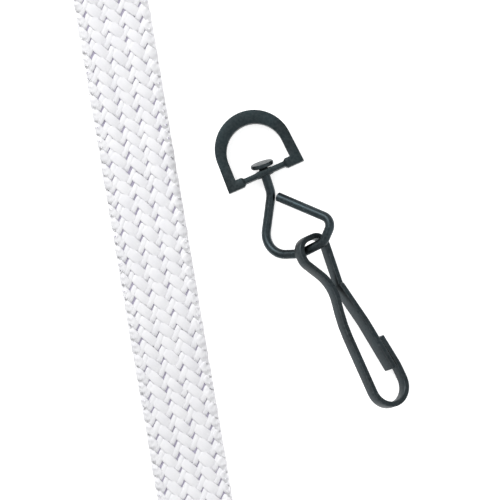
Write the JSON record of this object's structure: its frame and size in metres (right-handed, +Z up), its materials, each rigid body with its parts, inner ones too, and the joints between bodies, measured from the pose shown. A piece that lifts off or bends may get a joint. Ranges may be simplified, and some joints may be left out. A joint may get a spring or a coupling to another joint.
{
  "type": "lanyard",
  "caption": "Flat white tubular-braid neck strap, crimped into a loop, with a black swivel snap hook on a D-ring.",
  "frame": {"origin": "on the surface that the lanyard lies on, under the middle of the box round the D-ring, swivel link and hook", "axes": "+Z up off the surface; +Y along the strap's straight run towards the roll, 9.6 degrees off it; +X to the right of the strap, towards the hook"},
  "size_m": [0.0685, 0.1668, 0.0115],
  "materials": {
    "white_braid": "matte flat tubular polyester braid",
    "crimp_steel": "black oxide, oiled",
    "ring_steel": "black oxide, oiled, satin",
    "wire_steel": "black oxide, oiled, satin with brighter high spots",
    "spring_steel": "black oxide, oiled, satin with brighter edges"
  },
  "bodies": {
    "strap": {"strap_top": "white_braid", "strap_under": "white_braid", "strap_roll": "white_braid", "crimp": "crimp_steel"},
    "ring": {"d_ring": "ring_steel"},
    "link": {"swivel_link": "wire_steel"},
    "hook_body": {"hook": "spring_steel"},
    "gate_leg": {"gate": "spring_steel"}
  },
  "joints": [
    {"name": "ring_lift_off", "type": "slide", "parent": "strap", "child": "ring", "axis": [0, 0, 1], "range_m": [0, 0.1]},
    {"name": "link_swivel", "type": "hinge", "parent": "ring", "child": "link", "pos_m": [-0.0074, 0.0129, 0.00152], "axis": [-0.2998, 0.9293, 0.2158], "continuous": true},
    {"name": "hook_swing", "type": "hinge", "parent": "link", "child": "hook_body", "pos_m": [-0.00051, 0.00157, 0.00407], "axis": [0.8306, 0.4292, 0.3548], "range_deg": [-90, 90]},
    {"name": "gate_spring", "type": "hinge", "parent": "hook_body", "child": "gate_leg", "pos_m": [0.00366, -0.00408, 0.0031], "axis": [-0.4871, -0.2098, -0.8478], "range_deg": [0, 14], "stiffness_Nm_per_rad": 0.15, "springref_deg": -2.86}
  ]
}
